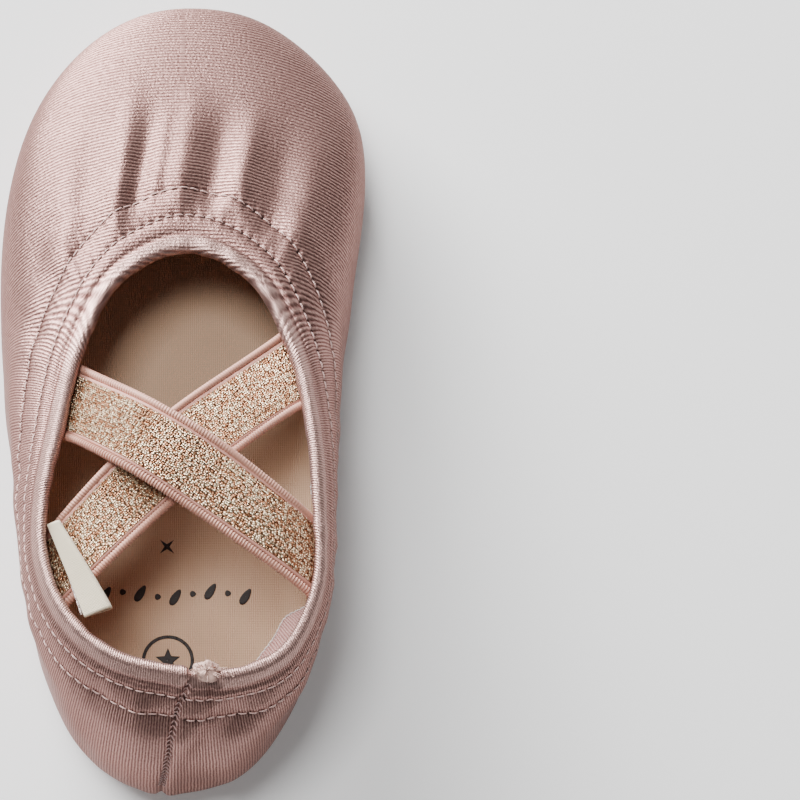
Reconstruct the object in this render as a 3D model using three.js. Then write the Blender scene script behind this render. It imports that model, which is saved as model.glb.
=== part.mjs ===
import * as THREE from "three";

// Soft ballet slipper for the left foot, mm, toe towards +Y, medial side towards +X, sole on z = 0.

// Overall sizes.
const slipperLength = 164;
const slipperWidth = 74.6;
const rimHeightFront = 30; // centre of the rim's cord above the floor, over the instep
const rimHeightHeel = 38.6; // and at the heel
const girthHeight = 11; // where the wall stands furthest out

// Sole stack.
const outsoleThickness = 1.8;
const outsoleInset = 3; // outsole edge inside the fold where the satin turns under
const grooveInset = 3.2; // stitch groove's centre inside the outsole's edge
const grooveWidth = 1.3;
const grooveDepth = 1.1;
const soleThreadRadius = 0.3;
const foamThickness = 3;
const sockThickness = 1;

// Upper.
const satinThickness = 0.7;
const liningThickness = 0.7;
const facingThickness = 0.5;
const facingDepth = 12; // how far the facing reaches down from the rim
const foldTuck = 4.4; // sole fold inside the widest line of the wall
const lastingMargin = 8; // satin turned in under the foam
const rimRadius = 1.45; // outside of the rolled rim
const rimCordRadius = 0.5;
const seamSlit = 0.36; // butted back seam
const rowOneAtFront = 6.5; // first stitch row below the rim
const rowOneAtHeel = 4.5;
const rowTwoAtFront = 12.6; // second stitch row below the rim
const rowTwoAtHeel = 9;
const threadRadius = 0.25;
const seamThreadGap = 2.4; // the rows stop short of the back seam
const clearance = 0.3; // between neighbouring layers

// Elastic straps.
const strapWidth = 15;
const strapCordRadius = 0.7;
const strapWebThickness = 0.8;
const strapRise = 4.35; // upper strap at the crossing, above the rim's height three quarters of the way back
const strapCrossing = 2.7; // and how much lower the other runs there
const strapTail = 8; // sewn length down the inside of the wall

// Folded ribbon label.
const labelWidth = 20;
const labelDepth = 6.4;
const ribbonThickness = 0.35;
const labelLoopGap = 1.1; // open loop at the fold
const labelLean = 0.22; // radians above level

// Plan of the widest line, as parts of half the width and half the length, medial side first.
const girthPlan = [
  [0.846, -0.018], [0.887, 0.134], [0.96, 0.4], [1.0, 0.59], [0.91, 0.74], [0.643, 0.896], [0.35, 0.978],
  [0.03, 1.0], [-0.3, 0.97], [-0.59, 0.87], [-0.84, 0.69], [-0.965, 0.47], [-1.0, 0.25], [-0.985, 0.08],
  [-0.95, -0.1], [-0.9, -0.3], [-0.83, -0.52], [-0.724, -0.741], [-0.456, -0.933], [-0.08, -1.0],
  [0.295, -0.955], [0.57, -0.81], [0.7, -0.593], [0.765, -0.341], [0.81, -0.16],
];
// Plan of the rim's cord, in the same parts.
const rimPlan = [
  [0.632, -0.067], [0.536, 0.071], [0.349, 0.222], [0.027, 0.298], [-0.3, 0.235], [-0.53, 0.06],
  [-0.66, -0.171], [-0.74, -0.36], [-0.74, -0.49], [-0.63, -0.63], [-0.4, -0.733], [-0.08, -0.78],
  [0.24, -0.79], [0.5, -0.74], [0.665, -0.61], [0.705, -0.42], [0.685, -0.224],
];
const middle = new THREE.Vector2(0, -0.122 * slipperLength); // every wall section turns about this line
const columns = 6 * Math.round(slipperLength / 16.4);
const degree = Math.PI / 180;
const backSeam = -92 * degree;

const mix = (a, b, k) => a + (b - a) * k;

// Radius about the middle line at an angle, smoothly through the plan's points.
function polarRadius(plan) {
  const knots = plan.map(([across, along]) => {
    const x = (across * slipperWidth) / 2 - middle.x;
    const y = (along * slipperLength) / 2 - middle.y;
    return { turn: Math.atan2(y, x), radius: Math.hypot(x, y) };
  });
  knots.sort((a, b) => a.turn - b.turn);
  const count = knots.length;
  const at = (i) => {
    const lap = Math.floor(i / count);
    const knot = knots[i - lap * count];
    return { turn: knot.turn + lap * 2 * Math.PI, radius: knot.radius };
  };
  const steepness = (i) => (at(i + 1).radius - at(i).radius) / (at(i + 1).turn - at(i).turn);
  const slope = (i) => {
    const before = at(i).turn - at(i - 1).turn;
    const after = at(i + 1).turn - at(i).turn;
    return (after * steepness(i - 1) + before * steepness(i)) / (before + after);
  };
  return (turn) => {
    const lap = Math.floor((turn - knots[0].turn) / (2 * Math.PI));
    const local = turn - lap * 2 * Math.PI;
    let i = 0;
    while (at(i + 1).turn <= local) i += 1;
    const span = at(i + 1).turn - at(i).turn;
    const k = (local - at(i).turn) / span;
    const stay = (1 + 2 * k) * (1 - k) ** 2;
    const leave = k * (1 - k) ** 2 * span;
    const arrive = k * k * (k - 1) * span;
    return (
      stay * at(i).radius + (1 - stay) * at(i + 1).radius + leave * slope(i) + arrive * slope(i + 1)
    );
  };
}

const girthRadius = polarRadius(girthPlan);
const rimPlanRadius = polarRadius(rimPlan);
const foldRadius = (turn) => girthRadius(turn) - foldTuck;
const satinBottom = outsoleThickness + clearance;

// A point of the section at an angle: distance out from the middle line, and height.
function place(turn, out, height) {
  return new THREE.Vector3(middle.x + out * Math.cos(turn), middle.y + out * Math.sin(turn), height);
}

// 0 at the rim's front, 1 at its back.
function backness(turn) {
  const y = middle.y + rimPlanRadius(turn) * Math.sin(turn);
  const front = middle.y + rimPlanRadius(Math.PI / 2);
  const back = middle.y - rimPlanRadius(-Math.PI / 2);
  return THREE.MathUtils.clamp((front - y) / (front - back), 0, 1);
}

function rimCentre(turn) {
  const height = mix(rimHeightFront, rimHeightHeel, backness(turn) ** 0.75);
  return new THREE.Vector2(rimPlanRadius(turn), height);
}

// Outer line of the wall in its section: fold at the sole, widest point, then up to the rolled rim.
function wallCurves(turn) {
  const rim = rimCentre(turn);
  const widest = new THREE.Vector2(girthRadius(turn), girthHeight);
  const fold = new THREE.Vector2(foldRadius(turn), satinBottom);
  const chord = Math.atan2(rim.y - widest.y, Math.max(widest.x - rim.x, 2));
  const lean = 0.75 * chord; // slope of the wall where it meets the rim
  const top = rim.clone().add(new THREE.Vector2(rimRadius * Math.sin(lean), rimRadius * Math.cos(lean)));
  const reach = 0.45 * widest.distanceTo(top);
  const lower = new THREE.CubicBezierCurve(
    fold,
    new THREE.Vector2(mix(fold.x, widest.x, 0.55), fold.y),
    new THREE.Vector2(widest.x, mix(widest.y, fold.y, 0.55)),
    widest,
  );
  const upper = new THREE.CubicBezierCurve(
    widest,
    new THREE.Vector2(widest.x, mix(widest.y, top.y, 0.55)),
    new THREE.Vector2(top.x + reach * Math.cos(lean), top.y - reach * Math.sin(lean)),
    top,
  );
  return { lower, upper, rim, lean };
}

// A point and the inward direction on a curve of the section.
function onCurve(curve, t) {
  const point = curve.getPoint(t);
  const along = curve.getTangent(t);
  return { point, inward: new THREE.Vector2(-along.y, along.x) };
}

function inset(spot, depth) {
  return spot.point.clone().addScaledVector(spot.inward, depth);
}

// The same, at a distance down the wall from the rim.
function belowRim(turn, distance) {
  const { lower, upper } = wallCurves(turn);
  const length = upper.getLength();
  if (distance <= length) return onCurve(upper, upper.getUtoTmapping(1 - distance / length));
  const rest = Math.min((distance - length) / lower.getLength(), 1);
  return onCurve(lower, lower.getUtoTmapping(1 - rest));
}

// One closed surface through equal loops of points. Open rows of loops get an end cap each.
function loft(loops, ring, capOutline) {
  const triangles = [];
  const add = (a, b, c) => {
    if (a.distanceTo(b) > 1e-4 && b.distanceTo(c) > 1e-4 && c.distanceTo(a) > 1e-4) triangles.push(a, b, c);
  };
  const size = loops[0].length;
  const spans = ring ? loops.length : loops.length - 1;
  for (let i = 0; i < spans; i += 1) {
    const here = loops[i];
    const next = loops[(i + 1) % loops.length];
    for (let j = 0; j < size; j += 1) {
      const k = (j + 1) % size;
      add(here[j], next[j], next[k]);
      add(here[j], next[k], here[k]);
    }
  }
  if (!ring) {
    const [first, last] = [loops[0], loops[loops.length - 1]];
    const [near, far] = THREE.ShapeUtils.isClockWise(capOutline) ? [last, first] : [first, last];
    for (const [a, b, c] of THREE.ShapeUtils.triangulateShape(capOutline, [])) {
      add(near[a], near[b], near[c]);
      add(far[c], far[b], far[a]);
    }
  }
  const volume = (sum, v, i) => (i % 3 ? sum : sum + v.dot(triangles[i + 1].clone().cross(triangles[i + 2])));
  if (triangles.reduce(volume, 0) < 0) triangles.reverse();
  const geometry = new THREE.BufferGeometry().setFromPoints(triangles);
  geometry.computeVertexNormals();
  return geometry;
}

const ringTurns = Array.from({ length: columns }, (_, i) => backSeam + (i / columns) * 2 * Math.PI);

// A closed ring whose section is given at each angle.
function ringSolid(section) {
  return loft(
    ringTurns.map((turn) => section(turn).map((p) => place(turn, p.x, p.y))),
    true,
  );
}

// The same, open at the back seam.
function slitRingSolid(section, gap = seamSlit) {
  const half = gap / 2 / rimPlanRadius(backSeam);
  const turns = [backSeam + half, ...ringTurns.slice(1), backSeam + 2 * Math.PI - half];
  return loft(
    turns.map((turn) => section(turn).map((p) => place(turn, p.x, p.y))),
    false,
    section(backSeam),
  );
}

// A flat plate whose edge is a radius at each angle.
function plate(edge, bottom, top) {
  return ringSolid((turn) => [
    new THREE.Vector2(0, bottom),
    new THREE.Vector2(edge(turn), bottom),
    new THREE.Vector2(edge(turn), top),
    new THREE.Vector2(0, top),
  ]);
}

function roundSection(centre, radius, sides) {
  return Array.from({ length: sides }, (_, i) => {
    const a = ((i + 0.5) / sides) * 2 * Math.PI;
    return new THREE.Vector2(centre.x + radius * Math.cos(a), centre.y + radius * Math.sin(a));
  });
}

const group = new THREE.Group();
group.name = "ballet_slipper";

function addPart(name, geometry, color, roughness) {
  const material = new THREE.MeshStandardMaterial({ color, roughness, metalness: 0 });
  material.name = name;
  const mesh = new THREE.Mesh(geometry, material);
  mesh.name = name;
  group.add(mesh);
}

const outsoleEdge = (turn) => foldRadius(turn) - outsoleInset;
const grooveLine = (turn) => outsoleEdge(turn) - grooveInset;

function makeOutsole() {
  return ringSolid((turn) => {
    const edge = outsoleEdge(turn);
    const groove = grooveLine(turn);
    return [
      new THREE.Vector2(0, 0),
      new THREE.Vector2(groove - grooveWidth / 2, 0),
      new THREE.Vector2(groove - grooveWidth / 2, grooveDepth),
      new THREE.Vector2(groove + grooveWidth / 2, grooveDepth),
      new THREE.Vector2(groove + grooveWidth / 2, 0),
      new THREE.Vector2(edge - 0.3, 0),
      new THREE.Vector2(edge, 0.4),
      new THREE.Vector2(edge, outsoleThickness),
      new THREE.Vector2(0, outsoleThickness),
    ];
  });
}

function makeOutsoleThread() {
  const centre = (turn) => new THREE.Vector2(grooveLine(turn), grooveDepth / 2);
  return ringSolid((turn) => roundSection(centre(turn), soleThreadRadius, 5));
}

// Layer of the wall between two depths: rows of spots from the sole up, out along one face and back.
function layer(spots, near, far) {
  return [...spots.map((s) => inset(s, near)), ...spots.map((s) => inset(s, far)).reverse()];
}

function wallSpots(turn, upTo) {
  const { lower, upper } = wallCurves(turn);
  const spots = [];
  for (let i = 0; i < 3; i += 1) spots.push(onCurve(lower, i / 3));
  for (let i = 0; i < 6; i += 1) spots.push(onCurve(upper, i / 6));
  spots.push(onCurve(upper, upTo));
  return spots;
}

// Satin: turned in under the foam, up the wall, and rolled over the rim's cord.
function makeSatin() {
  return slitRingSolid((turn) => {
    const { rim, lean } = wallCurves(turn);
    const up = new THREE.Vector2(0, 1);
    const margin = { point: new THREE.Vector2(foldRadius(turn) - lastingMargin, satinBottom), inward: up };
    const spots = [margin, ...wallSpots(turn, 1)];
    for (let i = 1; i <= 4; i += 1) {
      const a = Math.PI / 2 - lean + (i / 4) * Math.PI;
      const outward = new THREE.Vector2(Math.cos(a), Math.sin(a));
      spots.push({
        point: rim.clone().addScaledVector(outward, rimRadius),
        inward: outward.negate(),
      });
    }
    return layer(spots, 0, satinThickness);
  });
}

const liningNear = satinThickness + clearance;
const liningFar = liningNear + liningThickness;
const facingNear = liningFar + clearance + 0.1;
const facingFar = facingNear + facingThickness;

function makeLining() {
  return slitRingSolid((turn) => {
    const { upper } = wallCurves(turn);
    const top = upper.getUtoTmapping(1 - 1.6 / upper.getLength());
    return layer(wallSpots(turn, top), liningNear, liningFar);
  });
}

function makeFacing() {
  return slitRingSolid((turn) => {
    const spots = [];
    for (let i = 0; i <= 4; i += 1) spots.push(belowRim(turn, mix(facingDepth, 1.6, i / 4)));
    return layer(spots, facingNear, facingFar);
  });
}

// Thread that lies on the wall at a distance below the rim, from one side of the back seam to the other.
function threadRow(distance, depth) {
  const section = (turn) => roundSection(inset(belowRim(turn, distance(turn)), depth), threadRadius, 4);
  return slitRingSolid(section, seamThreadGap);
}

const threadProud = -(threadRadius + 0.2);

function makeHeelSeamThread() {
  const loops = [];
  for (let i = 0; i <= 14; i += 1) {
    const spot = belowRim(backSeam, mix(1, 30, i / 14));
    const centre = inset(spot, -(2 * threadRadius));
    const sideways = new THREE.Vector3(-Math.sin(backSeam), Math.cos(backSeam), 0);
    const outward = place(backSeam, spot.point.x - spot.inward.x, spot.point.y - spot.inward.y).sub(
      place(backSeam, spot.point.x, spot.point.y),
    );
    const base = place(backSeam, centre.x, centre.y);
    loops.push(
      roundSection(new THREE.Vector2(), threadRadius * 1.3, 5).map((p) =>
        base.clone().addScaledVector(sideways, p.x).addScaledVector(outward, p.y),
      ),
    );
  }
  return loft(loops, false, roundSection(new THREE.Vector2(), 1, 5));
}

// Tucked end of the rim's cord, a small soft lump inside the heel.
function makeCordTuck() {
  const tuck = new THREE.SphereGeometry(1, 12, 8);
  tuck.scale(2.1, 1.1, 1.4);
  const turn = backSeam + 7 * degree;
  const rim = rimCentre(turn);
  const centre = place(turn, rim.x - rimRadius - 1.1 - clearance, rim.y + 0.5);
  tuck.translate(centre.x, centre.y, centre.z);
  return tuck;
}

// Where a strap is sewn in: the rim angles under its two edges, and how far down it leaves the wall.
const overLeft = { front: 134.7 * degree, rear: 168.7 * degree, leave: 2 };
const overRight = { front: -24.3 * degree, rear: -48.7 * degree, leave: 2 };
const underRight = { front: 53.6 * degree, rear: 24.7 * degree, leave: 2 };
const underLeft = { front: 210.2 * degree, rear: 233.1 * degree, leave: 6 };

const strapCrest = mix(rimHeightFront, rimHeightHeel, 0.75) + strapRise;
const strapDepth = Math.max(2 * rimRadius + clearance, facingFar + 2 * clearance) + strapCordRadius;

function sewnPoint(end, across, distance, depth) {
  const turn = mix(end.rear, end.front, (across + 1) / 2);
  const p = inset(belowRim(turn, distance), depth);
  return place(turn, p.x, p.y);
}

// Lengthwise line of a strap, at a part of the half width towards the toe.
function strapLine(left, right, crest, across) {
  const chord = sewnPoint(right, 0, right.leave, strapDepth).sub(sewnPoint(left, 0, left.leave, strapDepth));
  const forward = new THREE.Vector3(-chord.y, chord.x, 0).normalize();
  const crossing = new THREE.Vector3(-1.5, middle.y - 1, crest);
  crossing.addScaledVector(forward, (across * strapWidth) / 2);
  const flat = chord.setZ(0).setLength(strapWidth / 2);
  return new THREE.CatmullRomCurve3(
    [
      sewnPoint(left, across, left.leave + strapTail, strapDepth),
      sewnPoint(left, across, left.leave, strapDepth),
      crossing.clone().sub(flat),
      crossing.clone().add(flat),
      sewnPoint(right, across, right.leave, strapDepth),
      sewnPoint(right, across, right.leave + strapTail, strapDepth),
    ],
    false,
    "centripetal",
  );
}

const strapStations = 22;

function makeStrapWeb(left, right, crest) {
  const webHalf = 1 - (2 * strapCordRadius + clearance) / (strapWidth / 2);
  const lines = [-1, -0.5, 0, 0.5, 1].map((k) => strapLine(left, right, crest, k * webHalf));
  const loops = [];
  for (let i = 0; i <= strapStations; i += 1) {
    const row = lines.map((line) => line.getPoint(i / strapStations));
    const along = lines[2].getTangent(i / strapStations);
    const normal = along.cross(row[4].clone().sub(row[0])).normalize();
    const top = row.map((p) => p.clone().addScaledVector(normal, strapWebThickness / 2));
    const bottom = row.map((p) => p.clone().addScaledVector(normal, -strapWebThickness / 2));
    loops.push([...top, ...bottom.reverse()]);
  }
  const outline = [-2, -1, 0, 1, 2, 2, 1, 0, -1, -2].map((x, i) => new THREE.Vector2(x, i < 5 ? 1 : 0));
  return loft(loops, false, outline);
}

function makeStrapCord(left, right, crest, side) {
  const across = side * (1 - strapCordRadius / (strapWidth / 2));
  const line = strapLine(left, right, crest, across);
  const loops = [];
  for (let i = 0; i <= strapStations; i += 1) {
    const centre = line.getPoint(i / strapStations);
    const along = line.getTangent(i / strapStations);
    const sideways = along.clone().cross(new THREE.Vector3(0, 0, 1)).normalize();
    const normal = sideways.clone().cross(along);
    loops.push(
      roundSection(new THREE.Vector2(), strapCordRadius, 6).map((p) =>
        centre.clone().addScaledVector(sideways, p.x).addScaledVector(normal, p.y),
      ),
    );
  }
  return loft(loops, false, roundSection(new THREE.Vector2(), 1, 6));
}

// Row of holding stitches across a strap's sewn end.
function makeStrapTack(end) {
  const depth = strapDepth + strapCordRadius + clearance + threadRadius;
  const loops = [];
  for (let i = 0; i <= 10; i += 1) {
    const across = mix(-0.95, 0.95, i / 10);
    const centre = sewnPoint(end, across, end.leave + strapTail - 1.5, depth);
    const next = sewnPoint(end, across + 0.05, end.leave + strapTail - 1.5, depth);
    const up = new THREE.Vector3(0, 0, 1);
    const sideways = next.sub(centre).cross(up).normalize();
    loops.push(
      roundSection(new THREE.Vector2(), threadRadius, 4).map((p) =>
        centre.clone().addScaledVector(sideways, p.x).addScaledVector(up, p.y),
      ),
    );
  }
  return loft(loops, false, roundSection(new THREE.Vector2(), 1, 4));
}

// The label's sewn edge is a straight line just inside the rim, over the rear strap's left end.
const labelTurnFront = 207 * degree;
const labelTurnRear = 241 * degree;

function labelFrame() {
  const ends = [labelTurnFront, labelTurnRear].map((turn) => {
    const rim = rimCentre(turn);
    return place(turn, rim.x - rimRadius - clearance - threadRadius, rim.y - 0.4);
  });
  const centre = ends[0].clone().lerp(ends[1], 0.5);
  const along = ends[1].clone().sub(ends[0]);
  along.z = 0;
  along.normalize();
  const inward = new THREE.Vector3(-along.y, along.x, 0);
  return { centre, along, inward };
}

function makeLabel() {
  const { centre, along, inward } = labelFrame();
  const start = threadRadius + clearance;
  const half = labelLoopGap / 2 + ribbonThickness;
  const root = ribbonThickness + 0.15;
  const tip = labelDepth - half;
  const outer = [new THREE.Vector2(start, -root), new THREE.Vector2(tip, -half)];
  const inner = [new THREE.Vector2(start, -0.15), new THREE.Vector2(tip, -labelLoopGap / 2)];
  for (let i = 1; i < 6; i += 1) {
    const a = -Math.PI / 2 + (i / 6) * Math.PI;
    outer.push(new THREE.Vector2(tip + half * Math.cos(a), half * Math.sin(a)));
    inner.push(new THREE.Vector2(tip + (labelLoopGap / 2) * Math.cos(a), (labelLoopGap / 2) * Math.sin(a)));
  }
  outer.push(new THREE.Vector2(tip, half), new THREE.Vector2(start, root));
  inner.push(new THREE.Vector2(tip, labelLoopGap / 2), new THREE.Vector2(start, 0.15));
  const outline = [...outer, ...inner.reverse()];
  const up = new THREE.Vector3(0, 0, 1);
  const reach = inward.clone().multiplyScalar(Math.cos(labelLean)).addScaledVector(up, Math.sin(labelLean));
  const lift = up.clone().multiplyScalar(Math.cos(labelLean)).addScaledVector(inward, -Math.sin(labelLean));
  const loops = [-0.5, 0.5].map((side) =>
    outline.map((p) =>
      centre
        .clone()
        .addScaledVector(along, side * labelWidth)
        .addScaledVector(reach, p.x)
        .addScaledVector(lift, p.y),
    ),
  );
  return loft(loops, false, outline);
}

function makeLabelThread() {
  const { centre, along, inward } = labelFrame();
  const up = new THREE.Vector3(0, 0, 1);
  const loops = [-0.46, 0.46].map((side) =>
    roundSection(new THREE.Vector2(), threadRadius, 5).map((p) =>
      centre
        .clone()
        .addScaledVector(along, side * labelWidth)
        .addScaledVector(inward, p.x)
        .addScaledVector(up, p.y),
    ),
  );
  return loft(loops, false, roundSection(new THREE.Vector2(), 1, 5));
}

const foamBottom = satinBottom + satinThickness + clearance;
const sockBottom = foamBottom + foamThickness + clearance;

addPart("outsole", makeOutsole(), 0xb99a84, 0.95);
addPart("outsole_thread", makeOutsoleThread(), 0xcfa596, 0.8);
addPart("midsole_foam", plate((t) => foldRadius(t) - 0.6, foamBottom, foamBottom + foamThickness), 0xe8dfcf, 0.95);
addPart("insole_sock", plate((t) => foldRadius(t) - 0.2, sockBottom, sockBottom + sockThickness), 0xc3ab94, 0.9);
addPart("upper_satin", makeSatin(), 0xcdaaa2, 0.4);
addPart("upper_lining", makeLining(), 0xc9b09a, 0.9);
addPart("topline_facing", makeFacing(), 0xd8b3aa, 0.6);
addPart(
  "topline_cord",
  ringSolid((turn) => roundSection(rimCentre(turn), rimCordRadius, 5)),
  0xe8d8cf,
  0.8,
);
addPart("topline_cord_tuck", makeCordTuck(), 0xe9dbd6, 0.9);
addPart(
  "casing_thread_inner",
  threadRow((turn) => mix(rowOneAtFront, rowOneAtHeel, backness(turn)), threadProud),
  0xc48f88,
  0.6,
);
addPart(
  "casing_thread_outer",
  threadRow((turn) => mix(rowTwoAtFront, rowTwoAtHeel, backness(turn)), threadProud),
  0xc48f88,
  0.6,
);
addPart(
  "facing_overlock_thread",
  threadRow(() => facingDepth + 0.9, liningFar + threadRadius + 0.2),
  0xd9a79d,
  0.7,
);
addPart("heel_seam_thread", makeHeelSeamThread(), 0xb98f88, 0.6);

const underCrest = strapCrest - strapCrossing;
const straps = [
  ["over_strap", overLeft, overRight, strapCrest],
  ["under_strap", underLeft, underRight, underCrest],
];
for (const [name, left, right, crest] of straps) {
  addPart(name + "_web", makeStrapWeb(left, right, crest), 0xc9a488, 0.45);
  addPart(name + "_cord_front", makeStrapCord(left, right, crest, 1), 0xcf9d8e, 0.6);
  addPart(name + "_cord_rear", makeStrapCord(left, right, crest, -1), 0xcf9d8e, 0.6);
  addPart(name + "_tack_left", makeStrapTack(left), 0xd9a79d, 0.7);
  addPart(name + "_tack_right", makeStrapTack(right), 0xd9a79d, 0.7);
}
addPart("label_loop", makeLabel(), 0xebe6d7, 0.8);
addPart("label_thread", makeLabelThread(), 0xe6dccf, 0.8);

// The origin is under the middle of the whole slipper.
const bounds = new THREE.Box3().setFromObject(group);
group.position.set(-(bounds.min.x + bounds.max.x) / 2, -(bounds.min.y + bounds.max.y) / 2, -bounds.min.z);

export default group;
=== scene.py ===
import math
import random

import bpy
import numpy as np
from mathutils import Matrix, Vector


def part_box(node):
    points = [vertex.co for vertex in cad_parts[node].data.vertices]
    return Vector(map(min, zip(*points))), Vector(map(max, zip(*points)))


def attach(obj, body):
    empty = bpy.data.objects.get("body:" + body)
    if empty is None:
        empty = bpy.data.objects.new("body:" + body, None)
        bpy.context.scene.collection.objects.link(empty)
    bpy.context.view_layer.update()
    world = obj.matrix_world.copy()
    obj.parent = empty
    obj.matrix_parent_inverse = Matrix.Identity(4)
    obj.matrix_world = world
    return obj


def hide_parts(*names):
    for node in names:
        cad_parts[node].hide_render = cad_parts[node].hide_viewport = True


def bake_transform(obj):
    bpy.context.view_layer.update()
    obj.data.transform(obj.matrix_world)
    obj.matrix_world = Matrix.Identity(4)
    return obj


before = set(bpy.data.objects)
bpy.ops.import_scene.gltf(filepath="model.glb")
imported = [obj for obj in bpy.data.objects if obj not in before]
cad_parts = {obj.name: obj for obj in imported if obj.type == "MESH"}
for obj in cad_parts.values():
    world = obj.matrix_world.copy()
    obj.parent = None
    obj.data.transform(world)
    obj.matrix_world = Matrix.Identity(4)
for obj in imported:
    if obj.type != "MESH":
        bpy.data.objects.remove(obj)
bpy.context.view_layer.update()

tau = 2 * math.pi
mm = 0.001
print("frame loaded")


def ease(low, high, x):
    t = np.clip((x - low) / (high - low), 0, 1)
    return t * t * (3 - 2 * t)


def hump(x, centre, width):
    return np.exp(-(((x - centre) / width) ** 2))


def mix(a, b, k):
    return a + (b - a) * k


def unit(v):
    return v / np.maximum(np.linalg.norm(v, axis=-1, keepdims=True), 1e-9)


# distance travelled at each point of a path
def tripAlong(path):
    return np.r_[0, np.cumsum(np.linalg.norm(np.diff(path, axis=0), axis=1))]


def paired(a, b):
    return np.stack(np.broadcast_arrays(a, b), axis=-1)


def boxOf(name):
    low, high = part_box(name)
    return np.array(low) / mm, np.array(high) / mm


def pointsOf(name):
    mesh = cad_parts[name].data
    flat = np.empty(len(mesh.vertices) * 3)
    mesh.vertices.foreach_get("co", flat)
    return flat.reshape(-1, 3) / mm


def newSoup():
    return {"points": [], "faces": [], "uv": [], "fields": {}, "count": 0}


# ring closes the first direction and tube the second; uv then has one more row or column
def addGrid(soup, points, ring=False, tube=False, uv=None, flip=False, caps=False, fields=None):
    rows, cols = points.shape[:2]
    index = np.arange(rows * cols).reshape(rows, cols) + soup["count"]
    if ring:
        index = np.vstack([index, index[:1]])
    if tube:
        index = np.hstack([index, index[:, :1]])
    corners = [index[:-1, :-1], index[1:, :-1], index[1:, 1:], index[:-1, 1:]]
    if uv is None:
        across, along = np.meshgrid(np.arange(index.shape[1]), np.arange(index.shape[0]))
        uv = np.stack([along, across], axis=-1) * 0.1
    uvCorners = [uv[:-1, :-1], uv[1:, :-1], uv[1:, 1:], uv[:-1, 1:]]
    if flip:
        corners.reverse()
        uvCorners.reverse()
    soup["points"].append(points.reshape(-1, 3))
    soup["faces"].extend(np.stack([c.ravel() for c in corners], axis=1).tolist())
    soup["uv"].append(np.stack([c.reshape(-1, 2) for c in uvCorners], axis=1).reshape(-1, 2))
    if caps:
        for end, turned in ((index[0, :cols], not flip), (index[-1, :cols], flip)):
            loop = end.tolist()
            soup["faces"].append(loop if not turned else loop[::-1])
            soup["uv"].append(np.zeros((cols, 2)))
    for name, values in (fields or {}).items():
        soup["fields"].setdefault(name, []).append(values.reshape(-1))
    soup["count"] += rows * cols


def makePiece(name, soup, material, body, replaced=()):
    mesh = bpy.data.meshes.new(name)
    points = np.concatenate(soup["points"]) * mm
    mesh.from_pydata(points.tolist(), [], soup["faces"])
    layer = mesh.uv_layers.new(name="grain")
    layer.data.foreach_set("uv", np.concatenate(soup["uv"]).ravel())
    for field, values in soup["fields"].items():
        attribute = mesh.attributes.new(field, "FLOAT", "POINT")
        attribute.data.foreach_set("value", np.concatenate(values).astype(np.float32))
    mesh.polygons.foreach_set("use_smooth", [True] * len(mesh.polygons))
    mesh.materials.append(material)
    mesh.update()
    piece = bpy.data.objects.new(name, mesh)
    bpy.context.scene.collection.objects.link(piece)
    if body:
        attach(piece, body)
    if replaced:
        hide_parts(*replaced)
    return piece


# rings of points round a path
def tubeAround(path, radius, sides=8, up=(0, 0, 1)):
    along = unit(np.gradient(path, axis=0))
    upward = np.broadcast_to(np.array(up, float), path.shape)
    sideways = unit(np.cross(along, upward))
    normal = np.cross(sideways, along)
    a = np.arange(sides) / sides * tau
    radius = np.broadcast_to(np.asarray(radius, float), path.shape[:1])[:, None, None]
    ring = np.cos(a)[None, :, None] * sideways[:, None] + np.sin(a)[None, :, None] * normal[:, None]
    return path[:, None] + radius * ring


def addTube(soup, path, radius, sides=8, up=(0, 0, 1)):
    rings = tubeAround(path, radius, sides, up)
    step = tripAlong(path)
    lap = np.linspace(0, 1, sides + 1)
    uv = paired(lap[None, :] * 3, step[:, None])
    addGrid(soup, rings, tube=True, uv=uv, caps=True)


cordLow, cordHigh = boxOf("topline_cord")
heart = (cordLow[:2] + cordHigh[:2]) / 2  # every wall section turns about this point


def atTurn(turn, radius, z):
    return np.stack([heart[0] + radius * np.cos(turn), heart[1] + radius * np.sin(turn), z], axis=-1)


def polar(points):
    d = points[:, :2] - heart
    return np.arctan2(d[:, 1], d[:, 0]), np.hypot(d[:, 0], d[:, 1])


columns = 60  # of the CAD's rings
firstTurn = math.radians(-92)


def columnOf(turn):
    return np.round((turn - firstTurn) / tau * columns).astype(int) % columns


# a smooth closed curve through the mean value at each column, as a function of the angle
def fitRing(turn, value):
    column = columnOf(turn)
    knots = firstTurn + np.arange(columns) / columns * tau
    away = (turn - knots[column] + math.pi) % tau - math.pi
    knots = knots + np.array([away[column == k].mean() for k in range(columns)])
    value = np.array([value[column == k].mean() for k in range(columns)])
    gap = np.diff(np.r_[knots, knots[0] + tau])
    rise = np.diff(np.r_[value, value[0]]) / gap
    system = np.zeros((columns, columns))
    for k in range(columns):
        system[k, k - 1] = gap[k - 1]
        system[k, k] = 2 * (gap[k - 1] + gap[k])
        system[k, (k + 1) % columns] = gap[k]
    bend = np.linalg.solve(system, 6 * (rise - np.roll(rise, 1)))

    def curve(t):
        t = (np.asarray(t, float) - knots[0]) % tau + knots[0]
        k = np.clip(np.searchsorted(knots, t, side="right") - 1, 0, columns - 1)
        n = (k + 1) % columns
        b = (t - knots[k]) / gap[k]
        a = 1 - b
        return a * value[k] + b * value[n] + ((a**3 - a) * bend[k] + (b**3 - b) * bend[n]) * gap[k] ** 2 / 6

    return curve


def outermost(points):
    turn, radius = polar(points)
    column = columnOf(turn)
    best = [np.flatnonzero(column == k)[np.argmax(radius[column == k])] for k in range(columns)]
    return turn[best], radius[best]


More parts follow.
